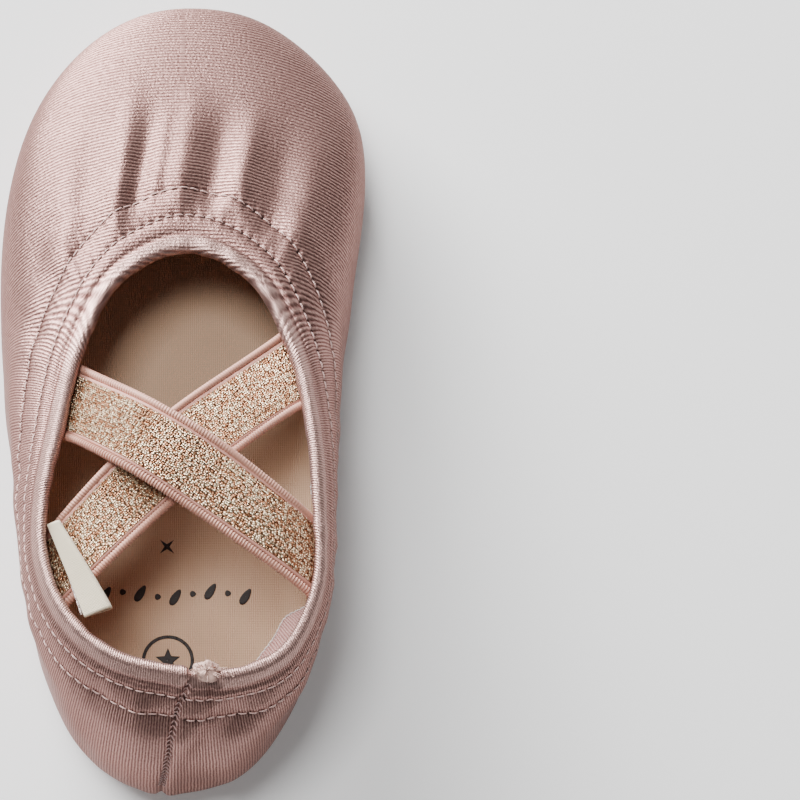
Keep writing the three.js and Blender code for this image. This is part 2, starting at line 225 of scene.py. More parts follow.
satinPoints = pointsOf("upper_satin")
foldHeight = satinPoints[:, 2].min()
girthHeight = 11.0
girthRadius = fitRing(*outermost(satinPoints[np.abs(satinPoints[:, 2] - girthHeight) < 0.6]))
foldRadius = fitRing(*outermost(satinPoints[satinPoints[:, 2] < foldHeight + 0.05]))
outsoleRadius = fitRing(*outermost(pointsOf("outsole")))
cordPoints = pointsOf("topline_cord")
rimRadius = fitRing(*polar(cordPoints))
rimHeight = fitRing(polar(cordPoints)[0], cordPoints[:, 2])
floorOfSock, topOfSock = boxOf("insole_sock")[0][2], boxOf("insole_sock")[1][2]

roll = {"radius": 1.45, "leg": 2.2}  # the rolled rim and the turn-in behind it
rollLength = math.pi * roll["radius"] + roll["leg"]


def bezier(p, t):
    s = 1 - t
    return s**3 * p[0] + 3 * s * s * t * p[1] + 3 * s * t * t * p[2] + t**3 * p[3]


# for each angle, the wall's line: inside the roll, over it, down to the fold and in under the foam
def wallLines(turn):
    rim = np.stack([rimRadius(turn), rimHeight(turn)], axis=-1)
    widest = np.stack([girthRadius(turn), np.full_like(turn, girthHeight)], axis=-1)
    fold = np.stack([foldRadius(turn), np.full_like(turn, foldHeight)], axis=-1)
    chord = np.arctan2(rim[:, 1] - widest[:, 1], np.maximum(widest[:, 0] - rim[:, 0], 2))
    lean = 0.75 * chord
    top = rim + roll["radius"] * np.stack([np.sin(lean), np.cos(lean)], axis=-1)
    reach = 0.45 * np.linalg.norm(widest - top, axis=1)
    into = np.stack([np.cos(lean), -np.sin(lean)], axis=-1)
    level = np.stack([widest[:, 0], mix(widest[:, 1], top[:, 1], 0.55)], axis=-1)
    t = np.linspace(1, 0, 160)[None, :, None]
    upper = bezier([p[:, None] for p in (widest, level, top + reach[:, None] * into, top)], t)
    under = np.stack([mix(fold[:, 0], widest[:, 0], 0.55), fold[:, 1]], axis=-1)
    side = np.stack([widest[:, 0], mix(widest[:, 1], fold[:, 1], 0.55)], axis=-1)
    t = np.linspace(1, 0, 40)[None, 1:, None]
    lower = bezier([p[:, None] for p in (fold, under, side, widest)], t)
    margin = (fold + [-8, 0])[:, None]
    a = (math.pi / 2 - lean)[:, None] + np.linspace(math.pi, 0, 30)[None, :-1]
    over = rim[:, None] + roll["radius"] * np.stack([np.cos(a), np.sin(a)], axis=-1)
    leg = over[:, :1] + roll["leg"] * into[:, None]
    line = np.concatenate([leg, over, upper, lower, margin], axis=1)
    step = np.linalg.norm(np.diff(line, axis=1), axis=-1)
    distance = np.concatenate([np.zeros((len(turn), 1)), np.cumsum(step, axis=1)], axis=1)
    distance -= distance[:, 30:31]
    return line, distance, distance[:, 30 + 159], distance[:, -2]


# points at angles and distances below the rim, set in by depth; both arrays are (angles, rows)
def wallAt(turn, distance, depth=0.0):
    line, known, _, _ = wallLines(turn)
    out = np.empty(distance.shape + (2,))
    ahead = np.empty(distance.shape + (2,))
    for i in range(len(turn)):
        for c in (0, 1):
            out[i, :, c] = np.interp(distance[i], known[i], line[i, :, c])
            ahead[i, :, c] = np.interp(distance[i] + 0.15, known[i], line[i, :, c]) - np.interp(
                distance[i] - 0.15, known[i], line[i, :, c]
            )
    ahead = unit(ahead)
    outward = np.stack([-ahead[..., 1], ahead[..., 0]], axis=-1)
    spot = out - np.asarray(depth)[..., None] * outward
    return atTurn(turn[:, None], spot[..., 0], spot[..., 1])


rimFront = heart[1] + float(rimRadius(math.pi / 2))
rimBack = heart[1] - float(rimRadius(-math.pi / 2))


def backness(turn):
    y = heart[1] + rimRadius(turn) * np.sin(turn)
    return np.clip((rimFront - y) / (rimFront - rimBack), 0, 1)


rows = {"oneFront": 6.5, "oneHeel": 4.5, "twoFront": 12.6, "twoHeel": 9.0, "pitch": 2.1, "skip": 1.0}


def rowOne(turn):
    return mix(rows["oneFront"], rows["oneHeel"], backness(turn))


def rowTwo(turn):
    return mix(rows["twoFront"], rows["twoHeel"], backness(turn))


ringTurns = np.linspace(-math.pi / 2, 1.5 * math.pi, 1441)


def arcAlong(distance):
    path = wallAt(ringTurns, distance(ringTurns)[:, None])[:, 0]
    return tripAlong(path)


arcOne, arcTwo = arcAlong(rowOne), arcAlong(rowTwo)
arcSide = arcAlong(lambda turn: np.full_like(turn, 14.0))


def around(turn):
    return (turn + math.pi / 2) % tau - math.pi / 2


def arcOf(table, turn):
    return np.interp(around(turn), ringTurns, table)


# smooth random ups and downs round the ring, about -1 to 1
def waves(seed, counts, table, turn):
    chance = random.Random(seed)
    s = arcOf(table, turn) / table[-1] * tau
    total = sum(np.cos(k * s + chance.uniform(0, tau)) * chance.uniform(0.6, 1) for k in counts)
    return total / math.sqrt(len(counts))


# Soft folds over the toes: x, y at the toe end, x, y at the rim end, half width, height.
toeFolds = [
    (-11.0, 53, -13.6, 31, 2.3, 0.85),
    (-6.8, 51, -9.4, 37, 2.1, -0.8),
    (-3.8, 51, -5.8, 37, 1.3, 0.4),
    (1.4, 53, -1.4, 35, 2.9, 0.9),
    (8.2, 52, 5.6, 37, 2.9, -0.9),
    (13.8, 50, 11.0, 36, 2.5, 0.95),
    (20.6, 47, 17.4, 31, 3.1, -0.7),
    (26.5, 43, 23.5, 25, 3.0, 0.45),
    (-18.6, 48, -20.0, 27, 2.6, -0.4),
    (-24.0, 42, -24.0, 22, 3.0, 0.4),
    (-29.0, 30, -28.0, 12, 3.2, -0.3),
]
heelFolds = [
    (13.5, -66, 2.0, -80.5, 3.4, -1.5),
    (20.5, -64, 10.0, -79, 3.6, 1.1),
    (5.0, -70, 0.5, -76, 2.2, 0.7),
    (-9.0, -67, -9.0, -78, 3.4, 0.8),
    (-16.0, -63, -19.0, -74, 3.2, -0.7),
]
seamPath = {"distance": [0, 6, 14, 30], "degrees": [-87.4, -90.5, -92.0, -93.5]}
rimGap = {"from": -86.6, "to": -80.4, "drop": 0.7}  # lapped ends of the rolled rim, in degrees


def foldField(folds, x, y, longer):
    total = np.zeros_like(x)
    for x0, y0, x1, y1, width, height in folds:
        dx, dy = x1 - x0, y1 - y0
        length = math.hypot(dx, dy)
        u = ((x - x0) * dx + (y - y0) * dy) / length**2
        p = ((x - x0) * dy - (y - y0) * dx) / length
        total += height * np.exp(-((p / width) ** 2)) * ease(-0.7, 0.65, u) * (1 - ease(1.0, longer, u))
    return total


def seamTurn(distance):
    return np.radians(np.interp(distance, seamPath["distance"], seamPath["degrees"]))


def seamOffset(turn, distance):
    away = (turn - seamTurn(distance) + math.pi) % tau - math.pi
    return away * rimRadius(turn)


# how far the satin stands out from its plain wall
def relief(turn, distance):
    t = np.broadcast_to(turn[:, None], distance.shape)
    base = wallAt(turn, distance)
    x, y, z = base[..., 0], base[..., 1], base[..., 2]
    one, two = rowOne(t), rowTwo(t)
    frontHalf = ease(-5, 25, y)
    s1, s2 = arcOf(arcOne, t), arcOf(arcTwo, t)
    d = distance
    height = 0.22 * hump(d, (one + 1.6) / 2 + 0.7, 1.4) - 0.32 * hump(d, 2.5, 0.55) - 0.24 * hump(d, one, 0.6)
    height += 0.16 * hump(d, (one + two) / 2, (two - one) * 0.36) - 0.26 * hump(d, two, 0.75)
    height += 0.35 * hump(d, two + 4.5, 3.0)
    pull = np.cos(s1 / rows["pitch"] * tau) * hump(d, one, 1.5)
    pull += np.cos(s2 / rows["pitch"] * tau) * hump(d, two, 1.8)
    height += 0.055 * pull
    fine = waves(3, (41, 47, 53, 59, 64, 71), arcOne, t)
    height += 0.085 * fine * hump(d, (one + two) / 2, 4.0)
    gather = waves(5, (17, 22, 27, 31, 36, 43), arcTwo, t)
    spread = np.where(d > two, np.exp(-np.maximum(d - two, 0) / 6.0), np.exp(-np.maximum(two - d, 0) / 3.0))
    height += mix(0.3, 0.14, frontHalf) * gather * spread
    height += foldField(toeFolds, x, y, 1.5) * (d > 0) * ease(0.5, two, d)
    height += foldField(heelFolds, x, y, 1.3) * ease(0.5, two, d) * ease(5, 15, z)
    slack = waves(8, (3, 4, 5, 7, 9), arcSide, t)
    height += 0.34 * slack * ease(10, 24, d) * ease(foldHeight, 9, z)
    toePleats = np.cos(arcOf(arcSide, t) * 1.6 + 1.6 * waves(9, (5, 8, 11), arcSide, t))
    height += 0.2 * toePleats * ease(30, 62, y) * hump(z, foldHeight + 1.6, 3.6)
    heelPleats = np.cos(arcOf(arcSide, t) * 1.5)
    height += 0.1 * heelPleats * (1 - ease(-72, -55, y)) * hump(z, foldHeight + 1.0, 2.6)
    offset = seamOffset(t, d)
    seamShow = ease(-5.5, -3, d) * (z > foldHeight)
    seam = 0.3 * hump(offset, -1.6, 1.2) + 0.3 * hump(offset, 1.4, 1.0) - 0.75 * hump(offset, 0, 0.45)
    height += seamShow * seam * ease(foldHeight, 9, z)
    degrees = np.degrees((t + math.pi) % tau - math.pi)
    onRoll = ease(-7, -5.5, d) * (1 - ease(0.6, 2.4, d))
    lapped = ease(rimGap["from"] - 0.5, rimGap["from"] + 0.2, degrees) * (
        1 - ease(rimGap["to"] - 0.2, rimGap["to"] + 0.5, degrees)
    )
    height -= rimGap["drop"] * onRoll * lapped
    crease = hump(degrees, -83.2, 0.55) * ease(0.5, 3, d) * (1 - ease(8, 11, d))
    height -= 0.6 * crease
    height += 0.09 * waves(11, (23, 31, 38, 45), arcOne, t) * onRoll
    rightSide = ease(math.radians(-55), math.radians(-30), around(t))
    rightSide *= 1 - ease(math.radians(20), math.radians(45), around(t))
    height -= 0.5 * hump(d, 1.5, 0.45) * rightSide
    return np.where(height > -0.6, height, -0.6 + 0.6 * np.tanh((height + 0.6) / 0.6))


# points on the finished satin; one distance and one lift for each angle
def satinPoint(turn, distance, lift=0.0):
    d = distance[:, None]
    return wallAt(turn, d, -(relief(turn, d) + np.asarray(lift).reshape(-1, 1)))[:, 0]


grainCurve = 0.0054  # how much the ribs bow over the toes
grainSwitch = 4.0  # ribs run across ahead of this, and from rim to sole behind it
sideFineness = 1.3


# position along and across the ribs
def grainOf(points, turn, distance):
    x, y = points[..., 0], points[..., 1]
    arc = np.broadcast_to(arcOf(arcSide, turn)[:, None], x.shape)
    nearStart = arc < arcSide[-1] / 2
    right = seamOffset(np.broadcast_to(turn[:, None], x.shape), distance) > 0
    fromRight = np.where(nearStart, arc, arc - arcSide[-1])
    fromLeft = np.where(nearStart, -arc, arcSide[-1] - arc)
    side = np.where(right, fromRight, fromLeft)
    atSwitch = {}
    for name, low, high in (("right", -80, 85), ("left", 95, 260)):
        turns = np.radians(np.linspace(low, high, 400))
        edge = wallAt(turns, np.full((400, 1), 14.0))[:, 0]
        k = np.argmin(np.abs(edge[:, 1] - grainSwitch))
        arc = np.interp(turns[k], ringTurns, arcSide)
        atSwitch[name] = (arc if name == "right" else arcSide[-1] - arc, edge[k, 0])
    start = np.where(right, atSwitch["right"][0], atSwitch["left"][0])
    edgeX = np.where(right, atSwitch["right"][1], atSwitch["left"][1])
    along = (side - start) * sideFineness + grainSwitch + grainCurve * edgeX**2
    ahead = ease(grainSwitch - 14, grainSwitch + 16, y)
    spread = np.hypot(x - heart[0], y - heart[1]) - rimRadius(turn)[:, None]
    fall = np.maximum(distance - np.maximum(spread, 0), 0) * np.maximum(np.sin(turn), 0)[:, None]
    v = mix(along, y + grainCurve * x**2 + fall, ahead)
    u = mix(distance, np.abs(x), ahead)
    return np.stack([u, v], axis=-1)


def paint(r, g, b):
    def linear(c):
        c /= 255
        return c / 12.92 if c <= 0.04045 else ((c + 0.055) / 1.055) ** 2.4

    return (linear(r), linear(g), linear(b), 1.0)


def addNode(tree, kind, sockets=None, **settings):
    node = tree.nodes.new(kind)
    for name, value in settings.items():
        setattr(node, name, value)
    for name, value in (sockets or {}).items():
        if isinstance(value, bpy.types.NodeSocket):
            tree.links.new(value, node.inputs[name])
        else:
            node.inputs[name].default_value = value
    return node


def math1(tree, operation, a, b=0.0, c=0.0):
    return addNode(tree, "ShaderNodeMath", {0: a, 1: b, 2: c}, operation=operation).outputs[0]


def blendColors(tree, factor, a, b, mode="MIX"):
    node = addNode(tree, "ShaderNodeMix", data_type="RGBA", blend_type=mode)
    for index, value in ((0, factor), (6, a), (7, b)):
        if isinstance(value, bpy.types.NodeSocket):
            tree.links.new(value, node.inputs[index])
        else:
            node.inputs[index].default_value = value
    return node.outputs[2]


def rampBetween(tree, value, low, high):
    sockets = {"Value": value, "From Min": low, "From Max": high, "To Min": 0.0, "To Max": 1.0}
    return addNode(tree, "ShaderNodeMapRange", sockets).outputs[0]


def scaledBy(tree, vector, factors):
    return addNode(tree, "ShaderNodeVectorMath", {0: vector, 1: factors}, operation="MULTIPLY").outputs[0]


def newGroup(name, inputs, outputs):
    group = bpy.data.node_groups.new(name, "ShaderNodeTree")
    for label, kind, value in inputs:
        socket = group.interface.new_socket(name=label, in_out="INPUT", socket_type=kind)
        if value is not None:
            socket.default_value = value
    for label, kind in outputs:
        group.interface.new_socket(name=label, in_out="OUTPUT", socket_type=kind)
    start = group.nodes.new("NodeGroupInput")
    end = group.nodes.new("NodeGroupOutput")
    return group, start, end


def makeRibGroup():
    group, start, end = newGroup(
        "ribbedYarn",
        [
            ("Position", "NodeSocketVector", None),
            ("Pitch", "NodeSocketFloat", 0.66),
            ("Bead", "NodeSocketFloat", 0.5),
        ],
        [("Height", "NodeSocketFloat"), ("Bead", "NodeSocketFloat")],
    )
    apart = addNode(group, "ShaderNodeSeparateXYZ", {0: start.outputs["Position"]})
    stretch = scaledBy(group, start.outputs["Position"], (0.9, 0.9, 0.9))
    wander = addNode(group, "ShaderNodeTexNoise", {"Vector": stretch, "Scale": 0.35, "Detail": 1.0})
    drift = math1(group, "MULTIPLY", math1(group, "SUBTRACT", wander.outputs["Fac"], 0.5), 0.35)
    v = math1(group, "ADD", apart.outputs["Y"], drift)
    phase = math1(group, "MULTIPLY", math1(group, "DIVIDE", v, start.outputs["Pitch"]), tau)
    rib = math1(group, "MULTIPLY_ADD", math1(group, "SINE", phase), 0.5, 0.5)
    fine = scaledBy(group, start.outputs["Position"], (1.5, 2.0, 1.0))
    beads = addNode(group, "ShaderNodeTexNoise", {"Vector": fine, "Scale": 1.3, "Detail": 2.0})
    beadMask = math1(group, "SUBTRACT", beads.outputs["Fac"], 0.5)
    beadMask = math1(group, "MULTIPLY", beadMask, start.outputs["Bead"])
    group.links.new(math1(group, "ADD", rib, beadMask), end.inputs["Height"])
    group.links.new(beads.outputs["Fac"], end.inputs["Bead"])
    return group


ribGroup = makeRibGroup()


def newMaterial(name, color, roughness, constants=None):
    material = bpy.data.materials.new(name)
    material.use_nodes = True
    tree = material.node_tree
    shader = tree.nodes["Principled BSDF"]
    shader.inputs["Base Color"].default_value = color
    shader.inputs["Roughness"].default_value = roughness
    for label, value in (constants or {}).items():
        shader.inputs[label].default_value = value
    material.diffuse_color = color
    return material, tree, shader


def uvPosition(tree):
    return addNode(tree, "ShaderNodeUVMap", uv_map="grain").outputs["UV"]


def objectNoise(tree, scale, detail=3.0):
    where = addNode(tree, "ShaderNodeTexCoord").outputs["Object"]
    sockets = {"Vector": where, "Scale": scale, "Detail": detail}
    return addNode(tree, "ShaderNodeTexNoise", sockets).outputs["Fac"]


def bumpFrom(tree, shader, height, strength, distance):
    node = addNode(tree, "ShaderNodeBump", {"Height": height, "Strength": strength, "Distance": distance})
    tree.links.new(node.outputs["Normal"], shader.inputs["Normal"])


satinLook = {
    "light": paint(210, 168, 158),
    "deep": paint(105, 72, 68),
    "roughness": 0.42,
    "pitch": 0.76,
    "metallic": 0.78,
    "ribDepth": 0.00016,  # metres
    "bead": 1.5,
    "edgeTint": (0.44, 0.33, 0.31, 1.0),
    # rimPaintedHighlight is a painted highlight: it screens the rolled rim's colour lighter
    "rimPaintedHighlight": paint(136, 112, 106),
    # holeShade is painted shade: near-black dots at the stitch holes
    "holeShade": paint(46, 26, 24),
}


def makeSatin(name, light, deep, pitch, metallic, rimLightAndHoleShade=False):
    look = satinLook
    material, tree, shader = newMaterial(
        name,
        light,
        look["roughness"],
        {
            "Metallic": metallic,
            "Anisotropic": 0.55,
            "Anisotropic Rotation": 0.25,
            "Sheen Weight": 0.04,
            "Sheen Roughness": 0.35,
            "Specular IOR Level": 0.45,
            "Specular Tint": look["edgeTint"],
        },
    )
    where = uvPosition(tree)
    ribs = addNode(tree, "ShaderNodeGroup", node_tree=ribGroup)
    tree.links.new(where, ribs.inputs["Position"])
    ribs.inputs["Pitch"].default_value = pitch
    ribs.inputs["Bead"].default_value = look["bead"]
    color = blendColors(tree, math1(tree, "MULTIPLY_ADD", ribs.outputs["Height"], 0.8, 0.06), deep, light)
    patches = objectNoise(tree, 90.0, 3.0)
    color = blendColors(tree, math1(tree, "MULTIPLY", patches, 0.35), color, deep)
    # painted light: the rolled rim's painted highlight and the stitch holes' painted shade
    if rimLightAndHoleShade:
        # painted highlight: the rolled rim's satin colour is screened lighter where the rim mask is set
        rim = addNode(tree, "ShaderNodeAttribute", attribute_name="rim").outputs["Fac"]
        color = blendColors(tree, math1(tree, "MULTIPLY", rim, 0.7), color, look["rimPaintedHighlight"], "SCREEN")
        # painted shade: the satin is darkened to near black at each stitch hole
        pricks = addNode(tree, "ShaderNodeAttribute", attribute_name="pricks").outputs["Fac"]
        color = blendColors(tree, pricks, color, look["holeShade"])
    tree.links.new(color, shader.inputs["Base Color"])
    rough = math1(tree, "MULTIPLY_ADD", ribs.outputs["Bead"], 0.16, look["roughness"] - 0.08)
    tree.links.new(rough, shader.inputs["Roughness"])
    tangent = addNode(tree, "ShaderNodeTangent", direction_type="UV_MAP", uv_map="grain")
    tree.links.new(tangent.outputs[0], shader.inputs["Tangent"])
    bumpFrom(tree, shader, ribs.outputs["Height"], 0.7, look["ribDepth"])
    return material


def makeThread(name, color, roughness=0.5, twist=0.5):
    sheen = {"Sheen Weight": 0.3, "Sheen Roughness": 0.4}
    material, tree, shader = newMaterial(name, color, roughness, sheen)
    apart = addNode(tree, "ShaderNodeSeparateXYZ", {0: uvPosition(tree)})
    slant = math1(tree, "ADD", apart.outputs["Y"], math1(tree, "MULTIPLY", apart.outputs["X"], twist / 3))
    strand = math1(tree, "SINE", math1(tree, "MULTIPLY", slant, tau / twist))
    bumpFrom(tree, shader, strand, 0.5, 0.00006)
    shade = math1(tree, "MULTIPLY_ADD", strand, 0.15, 0.2)
    dark = tuple(c * 0.6 for c in color[:3]) + (1.0,)
    tree.links.new(blendColors(tree, shade, color, dark), shader.inputs["Base Color"])
    return material


def makeCotton(name, color, shade, pitch=(0.42, 0.5)):
    material, tree, shader = newMaterial(name, color, 0.9, {"Sheen Weight": 0.35, "Sheen Roughness": 0.5})
    apart = addNode(tree, "ShaderNodeSeparateXYZ", {0: uvPosition(tree)})
    wale = math1(tree, "SINE", math1(tree, "MULTIPLY", apart.outputs["X"], tau / pitch[0]))
    course = math1(tree, "SINE", math1(tree, "MULTIPLY", apart.outputs["Y"], tau / pitch[1]))
    knit = math1(tree, "MULTIPLY_ADD", course, 0.35, wale)
    fuzz = objectNoise(tree, 1600.0, 2.0)
    height = math1(tree, "ADD", knit, math1(tree, "MULTIPLY", fuzz, 1.6))
    bumpFrom(tree, shader, height, 0.5, 0.0001)
    tone = math1(tree, "MULTIPLY_ADD", knit, -0.16, 0.3)
    blotch = math1(tree, "MULTIPLY", objectNoise(tree, 60.0), 0.3)
    tree.links.new(
        blendColors(tree, math1(tree, "ADD", tone, blotch), color, shade), shader.inputs["Base Color"]
    )
    return material


glitterLook = {
    "foil": paint(255, 232, 196),
    "foilDark": paint(170, 118, 84),
    "gap": paint(120, 80, 58),
    "edge": paint(196, 140, 124),
    "foilHalf": 5.25,  # half the width that glitters
    "beadsPerMm": (2.6, 2.0, 1.0),
}


# beads of metallic yarn with a plain band along each edge; UV is across and along, in mm
def makeGlitter(name):
    look = glitterLook
    material, tree, shader = newMaterial(name, paint(214, 176, 140), 0.35, {"Specular IOR Level": 0.6})
    where = uvPosition(tree)
    apart = addNode(tree, "ShaderNodeSeparateXYZ", {0: where})
    sockets = {"Vector": scaledBy(tree, where, look["beadsPerMm"]), "Scale": 1.0, "Randomness": 0.75}
    beads = addNode(tree, "ShaderNodeTexVoronoi", sockets, voronoi_dimensions="2D")
    chance = addNode(tree, "ShaderNodeSeparateColor", {0: beads.outputs["Color"]})
    foil = blendColors(tree, rampBetween(tree, chance.outputs[0], 0.25, 0.85), look["foilDark"], look["foil"])
    gap = rampBetween(tree, beads.outputs["Distance"], 0.32, 0.7)
    color = blendColors(tree, gap, foil, look["gap"])
    away = math1(tree, "ABSOLUTE", apart.outputs["X"])
    edge = rampBetween(tree, away, look["foilHalf"], look["foilHalf"] + 0.15)
    color = blendColors(tree, edge, color, look["edge"])
    tree.links.new(color, shader.inputs["Base Color"])
    inside = math1(tree, "SUBTRACT", 1.0, edge)
    tree.links.new(math1(tree, "MULTIPLY", inside, 0.8), shader.inputs["Metallic"])
    rough = math1(tree, "MULTIPLY_ADD", chance.outputs[1], 0.25, 0.22)
    tree.links.new(math1(tree, "MULTIPLY_ADD", edge, 0.3, rough), shader.inputs["Roughness"])
    dome = math1(tree, "SUBTRACT", 1.0, beads.outputs["Distance"])
    tilt = math1(tree, "MULTIPLY", chance.outputs[2], 0.9)
    ribs = math1(tree, "SINE", math1(tree, "MULTIPLY", apart.outputs["X"], tau / 0.9))
    height = math1(tree, "MULTIPLY_ADD", ribs, 0.15, math1(tree, "ADD", dome, tilt))
    bumpFrom(tree, shader, math1(tree, "MULTIPLY", height, inside), 1.0, 0.00035)
    return material


def makeSuede(name, color, shade):
    material, tree, shader = newMaterial(name, color, 0.95, {"Sheen Weight": 0.6, "Sheen Roughness": 0.6})
    nap = objectNoise(tree, 1400.0, 4.0)
    patches = objectNoise(tree, 55.0, 4.0)
    tree.links.new(blendColors(tree, patches, color, shade), shader.inputs["Base Color"])
    bumpFrom(tree, shader, math1(tree, "MULTIPLY_ADD", patches, 0.8, nap), 0.5, 0.0002)
    return material


def makePlain(name, color, roughness):
    material, tree, shader = newMaterial(name, color, roughness, {"Sheen Weight": 0.2})
    grain = objectNoise(tree, 900.0, 3.0)
    bumpFrom(tree, shader, grain, 0.3, 0.0001)
    tone = math1(tree, "MULTIPLY", grain, 0.25)
    dark = tuple(c * 0.7 for c in color[:3]) + (1.0,)
    tree.links.new(blendColors(tree, tone, color, dark), shader.inputs["Base Color"])
    return material


look = satinLook
satinMaterial = makeSatin("ribbedSatin", look["light"], look["deep"], look["pitch"], look["metallic"], True)
facingMaterial = makeSatin("facingSatin", paint(224, 184, 176), paint(168, 118, 112), 0.75, 0.1)
cordMaterial = makeThread("edgeCord", paint(204, 148, 128), 0.5, 0.6)
stitchMaterial = makeThread("stitchThread", paint(216, 176, 168), 0.45, 0.4)
seamMaterial = makeThread("seamThread", paint(186, 146, 140), 0.45, 0.5)
paleThread = makeThread("paleThread", paint(232, 218, 212), 0.6, 0.5)
liningMaterial = makeCotton("liningCotton", paint(200, 160, 128), paint(150, 108, 82))
sockMaterial = makeCotton("sockCotton", paint(216, 182, 152), paint(176, 140, 112))
glitterMaterial = makeGlitter("glitterWeb")
suedeMaterial = makeSuede("soleSuede", paint(196, 164, 142), paint(164, 128, 106))
printMaterial = makePlain("printInk", paint(34, 26, 24), 0.7)
ribbonMaterial = makeCotton("labelRibbon", paint(246, 232, 204), paint(226, 210, 178), (0.3, 0.3))
foamMaterial = makePlain("foam", paint(232, 223, 207), 0.95)
tuftMaterial = makeThread("tuftYarn", paint(206, 168, 154), 0.7, 0.35)
print("materials made")


upperGrid = {
    "columns": 760,
    "rollRows": 20,
    "nearStep": 0.36,
    "nearDepth": 16.0,
    "farRows": 46,
    "lowRows": 13,
}


def upperRows(turn):
    _, _, girthAt, foldAt = wallLines(turn)
    g = upperGrid
    over = np.linspace(-rollLength, 0, g["rollRows"], endpoint=False)
    near = np.arange(0, g["nearDepth"], g["nearStep"])
    k = np.linspace(0, 1, g["farRows"], endpoint=False)[None, :]
    far = g["nearDepth"] + (girthAt[:, None] - g["nearDepth"]) * k
    k = np.linspace(0, 1, g["lowRows"])[None, :]
    low = girthAt[:, None] + (foldAt - girthAt)[:, None] * k
    under = foldAt[:, None] + np.array([[1.5, 4.0, 7.9]])
    fixed = np.broadcast_to(np.r_[over, near], (len(turn), len(over) + len(near)))
    return np.concatenate([fixed, far, low, under], axis=1)


# mask of painted shade at the stitch holes: dark dots between the stitches of both rows
def holeShadeField(turn, distance):
    t = np.broadcast_to(turn[:, None], distance.shape)
    total = np.zeros_like(distance)
    for row, table in ((rowOne, arcOne), (rowTwo, arcTwo)):
        length = table[-1] - 2 * rows["skip"]
        pitch = length / round(length / rows["pitch"])
        beside = (arcOf(table, t) - rows["skip"] + pitch / 2) % pitch - pitch / 2
        total += np.exp(-((beside / 0.4) ** 2) - ((distance - row(t)) / 0.36) ** 2)
    return np.clip(total * 1.5, 0, 1)


def makeUpper():
    turn = np.linspace(-math.pi / 2, 1.5 * math.pi, upperGrid["columns"] + 1)
    turn = turn + math.radians(-2.0)
    distance = upperRows(turn)
    height = relief(turn, distance)
    points = wallAt(turn, distance, -height)
    grain = grainOf(points, turn, distance)
    soup = newSoup()
    addGrid(
        soup,
        points[:-1],
        ring=True,
        uv=grain,
        flip=True,
        fields={
            # stitch-hole mask for the painted shade
            "pricks": holeShadeField(turn, distance)[:-1],
            # rim mask: where the rolled rim gets its painted highlight
            "rim": (ease(-6.0, -4.5, distance) * (1 - ease(0.9, 2.4, distance)))[:-1],
        },
    )
    piece = makePiece("satinUpper", soup, satinMaterial, "slipper", ["upper_satin"])


makeUpper()
print("upper made")


ringCount = {"lining": 360, "cord": 480}


def ringOf(count):
    return np.linspace(-math.pi / 2, 1.5 * math.pi, count + 1)


def softness(turn, distance):
    t = np.broadcast_to(turn[:, None], distance.shape)
    return 0.22 * waves(5, (17, 22, 27, 31), arcTwo, t) + 0.35 * waves(8, (3, 4, 5, 7), arcSide, t)


facingSwing = ((-57.0, 9.0, 5.5), (-71.0, 11.0, 8.0), (-8.0, 13.0, 2.6))  # degrees, spread, reach


# how far the facing's free edge hangs away from the wall, on the medial side of the heel
def hang(turn, distance):
    degrees = np.degrees(around(turn))
    reach = sum(far * hump(degrees, middle, spread) for middle, spread, far in facingSwing)
    return reach[:, None] * ease(1.5, 12.5, distance)


def addWallRing(soup, turn, distance, depth, closed):
    inward = np.minimum(softness(turn, distance), 0.25) * ease(1.5, 6, distance)
    if closed:
        inward = inward - hang(turn, distance)
    points = wallAt(turn, distance, depth - inward)
    lap = np.interp(turn, ringTurns, arcSide)
    uv = paired(distance, lap[:, None])
    if closed:
        uv = np.concatenate([uv, uv[:, :1]], axis=1)
    addGrid(soup, points[:-1], ring=True, tube=closed, uv=uv, flip=not closed)


def makeLinings():
    turn = ringOf(ringCount["lining"])
    foldAt = wallLines(turn)[3]
    rowsDown = np.linspace(0, 1, 60)[None, :]
    distance = 1.8 + (foldAt[:, None] - 3.2 - 1.8) * rowsDown
    lining = newSoup()
    addWallRing(lining, turn, distance, np.full_like(distance, 1.7), False)
    piece = makePiece("cottonLining", lining, liningMaterial, "slipper", ["upper_lining"])
    down = np.r_[np.linspace(1.4, 11.8, 22), 12.1, 11.8, np.linspace(10, 1.4, 8)]
    depth = np.r_[np.full(22, 2.6), 2.35, np.full(9, 2.1)]
    shape = (len(turn), len(down))
    facing = newSoup()
    addWallRing(facing, turn, np.broadcast_to(down, shape), np.broadcast_to(depth, shape), True)
    makePiece("pinkFacing", facing, facingMaterial, "slipper", ["topline_facing"])


def closedTube(soup, path, radius, sides=8):
    longer = np.concatenate([path[-3:], path, path[:3]])
    rings = tubeAround(longer, radius, sides)[3:-3]
    step = tripAlong(np.concatenate([path, path[:1]]))
    lap = np.linspace(0, 1, sides + 1)
    uv = paired(lap[None, :] * 3, step[:, None])
    addGrid(soup, rings, ring=True, tube=True, uv=uv)


def makeRimCord():
    turn = ringOf(ringCount["cord"])[:-1]
    soup = newSoup()
    closedTube(soup, atTurn(turn, rimRadius(turn), rimHeight(turn)), 0.5)
    makePiece("rimCord", soup, cordMaterial, "slipper", ["topline_cord"])


makeLinings()
makeRimCord()
print("linings made")


soleLook = {"edgeRound": 0.6, "grooveIn": 3.2, "grooveWide": 1.3, "grooveDeep": 1.1, "stitch": 3.6}


